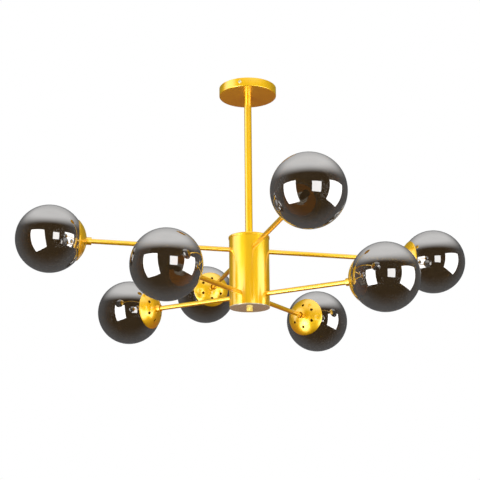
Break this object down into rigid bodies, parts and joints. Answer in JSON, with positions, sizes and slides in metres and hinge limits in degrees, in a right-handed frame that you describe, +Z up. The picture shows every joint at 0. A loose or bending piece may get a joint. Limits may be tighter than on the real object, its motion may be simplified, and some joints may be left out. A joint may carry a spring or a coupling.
{
  "type": "multi arm chandelier",
  "caption": "Ceiling chandelier with straight horizontal arms in two rings round a cylindrical hub, each ending in a vented cup with a smoked glass globe.",
  "frame": {"origin": "centre of the canopy on the ceiling plane", "axes": "+Z up into the ceiling, the lamp hangs along -Z; the upper arms lie along +X, +Y, -X and -Y"},
  "size_m": [0.984, 0.984, 0.541],
  "materials": {
    "gold": "satin gold",
    "cover_plate": "polished gold",
    "knob": "turned and fluted",
    "zinc_steel": "zinc plated",
    "smoked_glass": "smoked half-mirror",
    "lamp_glass": "clear",
    "ceramic": "unglazed",
    "white_plastic": "moulded",
    "cable_sheath": "extruded",
    "silicone": "translucent"
  },
  "bodies": {
    "fixture": {"ceiling_bracket": "zinc_steel", "canopy": "gold", "canopy_screws": "zinc_steel", "terminal_block": "white_plastic", "stem_tube": "gold", "centre_pipe": "zinc_steel", "pipe_nuts": "zinc_steel", "pipe_washers": "zinc_steel", "hub_lid": "gold", "hub_shell": "gold", "junction_block": "white_plastic", "supply_cable": "cable_sheath", "lamp_leads": "cable_sheath", "arm_collars": "gold", "arm_nipples": "zinc_steel", "arm_nuts": "zinc_steel", "screw_rings": "gold", "lampholders": "ceramic", "arm_1": "gold", "cup_1": "gold", "arm_2": "gold", "cup_2": "gold", "arm_3": "gold", "cup_3": "gold", "arm_4": "gold", "cup_4": "gold", "arm_5": "gold", "cup_5": "gold", "arm_6": "gold", "cup_6": "gold", "arm_7": "gold", "cup_7": "gold", "arm_8": "gold", "cup_8": "gold"},
    "cover": {"bottom_cover": "cover_plate"},
    "finial": {"finial_knob": "knob"},
    "cushion_1": {"gasket_1": "silicone"},
    "glass_1": {"globe_1": "smoked_glass"},
    "lamp_1": {"bulb_1": "lamp_glass"},
    "cushion_2": {"gasket_2": "silicone"},
    "glass_2": {"globe_2": "smoked_glass"},
    "lamp_2": {"bulb_2": "lamp_glass"},
    "cushion_3": {"gasket_3": "silicone"},
    "glass_3": {"globe_3": "smoked_glass"},
    "lamp_3": {"bulb_3": "lamp_glass"},
    "cushion_4": {"gasket_4": "silicone"},
    "glass_4": {"globe_4": "smoked_glass"},
    "lamp_4": {"bulb_4": "lamp_glass"},
    "cushion_5": {"gasket_5": "silicone"},
    "glass_5": {"globe_5": "smoked_glass"},
    "lamp_5": {"bulb_5": "lamp_glass"},
    "cushion_6": {"gasket_6": "silicone"},
    "glass_6": {"globe_6": "smoked_glass"},
    "lamp_6": {"bulb_6": "lamp_glass"},
    "cushion_7": {"gasket_7": "silicone"},
    "glass_7": {"globe_7": "smoked_glass"},
    "lamp_7": {"bulb_7": "lamp_glass"},
    "cushion_8": {"gasket_8": "silicone"},
    "glass_8": {"globe_8": "smoked_glass"},
    "lamp_8": {"bulb_8": "lamp_glass"}
  },
  "joints": [
    {"name": "cover_drop", "type": "slide", "parent": "fixture", "child": "cover", "axis": [0, 0, -1], "range_m": [0, 0.005]},
    {"name": "finial_turn", "type": "hinge", "parent": "cover", "child": "finial", "pos_m": [0, 0, -0.4975], "axis": [0, 0, -1], "range_deg": [0, 1800]},
    {"name": "globe_1_travel", "type": "slide", "parent": "fixture", "child": "cushion_1", "axis": [1, 0, 0], "range_m": [0, 0.008]},
    {"name": "globe_1_turn", "type": "hinge", "parent": "cushion_1", "child": "glass_1", "pos_m": [0.422, 0, -0.3725], "axis": [1, 0, 0], "range_deg": [0, 720]},
    {"name": "bulb_1_pull", "type": "slide", "parent": "fixture", "child": "lamp_1", "axis": [1, 0, 0], "range_m": [0, 0.015]},
    {"name": "globe_2_travel", "type": "slide", "parent": "fixture", "child": "cushion_2", "axis": [0, 1, 0], "range_m": [0, 0.008]},
    {"name": "globe_2_turn", "type": "hinge", "parent": "cushion_2", "child": "glass_2", "pos_m": [0, 0.422, -0.3725], "axis": [0, 1, 0], "range_deg": [0, 720]},
    {"name": "bulb_2_pull", "type": "slide", "parent": "fixture", "child": "lamp_2", "axis": [0, 1, 0], "range_m": [0, 0.015]},
    {"name": "globe_3_travel", "type": "slide", "parent": "fixture", "child": "cushion_3", "axis": [-1, 0, 0], "range_m": [0, 0.008]},
    {"name": "globe_3_turn", "type": "hinge", "parent": "cushion_3", "child": "glass_3", "pos_m": [-0.422, 0, -0.3725], "axis": [-1, 0, 0], "range_deg": [0, 720]},
    {"name": "bulb_3_pull", "type": "slide", "parent": "fixture", "child": "lamp_3", "axis": [-1, 0, 0], "range_m": [0, 0.015]},
    {"name": "globe_4_travel", "type": "slide", "parent": "fixture", "child": "cushion_4", "axis": [0, -1, 0], "range_m": [0, 0.008]},
    {"name": "globe_4_turn", "type": "hinge", "parent": "cushion_4", "child": "glass_4", "pos_m": [0, -0.422, -0.3725], "axis": [0, -1, 0], "range_deg": [0, 720]},
    {"name": "bulb_4_pull", "type": "slide", "parent": "fixture", "child": "lamp_4", "axis": [0, -1, 0], "range_m": [0, 0.015]},
    {"name": "globe_5_travel", "type": "slide", "parent": "fixture", "child": "cushion_5", "axis": [0.7071, 0.7071, 0], "range_m": [0, 0.008]},
    {"name": "globe_5_turn", "type": "hinge", "parent": "cushion_5", "child": "glass_5", "pos_m": [0.22026, 0.22026, -0.471], "axis": [0.7071, 0.7071, 0], "range_deg": [0, 720]},
    {"name": "bulb_5_pull", "type": "slide", "parent": "fixture", "child": "lamp_5", "axis": [0.7071, 0.7071, 0], "range_m": [0, 0.015]},
    {"name": "globe_6_travel", "type": "slide", "parent": "fixture", "child": "cushion_6", "axis": [-0.7071, 0.7071, 0], "range_m": [0, 0.008]},
    {"name": "globe_6_turn", "type": "hinge", "parent": "cushion_6", "child": "glass_6", "pos_m": [-0.22026, 0.22026, -0.471], "axis": [-0.7071, 0.7071, 0], "range_deg": [0, 720]},
    {"name": "bulb_6_pull", "type": "slide", "parent": "fixture", "child": "lamp_6", "axis": [-0.7071, 0.7071, 0], "range_m": [0, 0.015]},
    {"name": "globe_7_travel", "type": "slide", "parent": "fixture", "child": "cushion_7", "axis": [-0.7071, -0.7071, 0], "range_m": [0, 0.008]},
    {"name": "globe_7_turn", "type": "hinge", "parent": "cushion_7", "child": "glass_7", "pos_m": [-0.22026, -0.22026, -0.471], "axis": [-0.7071, -0.7071, 0], "range_deg": [0, 720]},
    {"name": "bulb_7_pull", "type": "slide", "parent": "fixture", "child": "lamp_7", "axis": [-0.7071, -0.7071, 0], "range_m": [0, 0.015]},
    {"name": "globe_8_travel", "type": "slide", "parent": "fixture", "child": "cushion_8", "axis": [0.7071, -0.7071, 0], "range_m": [0, 0.008]},
    {"name": "globe_8_turn", "type": "hinge", "parent": "cushion_8", "child": "glass_8", "pos_m": [0.22026, -0.22026, -0.471], "axis": [0.7071, -0.7071, 0], "range_deg": [0, 720]},
    {"name": "bulb_8_pull", "type": "slide", "parent": "fixture", "child": "lamp_8", "axis": [0.7071, -0.7071, 0], "range_m": [0, 0.015]}
  ],
  "couplings": [
    {"joint": "finial_turn", "follows": "cover_drop", "rad_per_m": 6283.2},
    {"joint": "globe_1_travel", "follows": "globe_1_turn", "m_per_rad": 0.00063662},
    {"joint": "globe_2_travel", "follows": "globe_2_turn", "m_per_rad": 0.00063662},
    {"joint": "globe_3_travel", "follows": "globe_3_turn", "m_per_rad": 0.00063662},
    {"joint": "globe_4_travel", "follows": "globe_4_turn", "m_per_rad": 0.00063662},
    {"joint": "globe_5_travel", "follows": "globe_5_turn", "m_per_rad": 0.00063662},
    {"joint": "globe_6_travel", "follows": "globe_6_turn", "m_per_rad": 0.00063662},
    {"joint": "globe_7_travel", "follows": "globe_7_turn", "m_per_rad": 0.00063662},
    {"joint": "globe_8_travel", "follows": "globe_8_turn", "m_per_rad": 0.00063662}
  ]
}
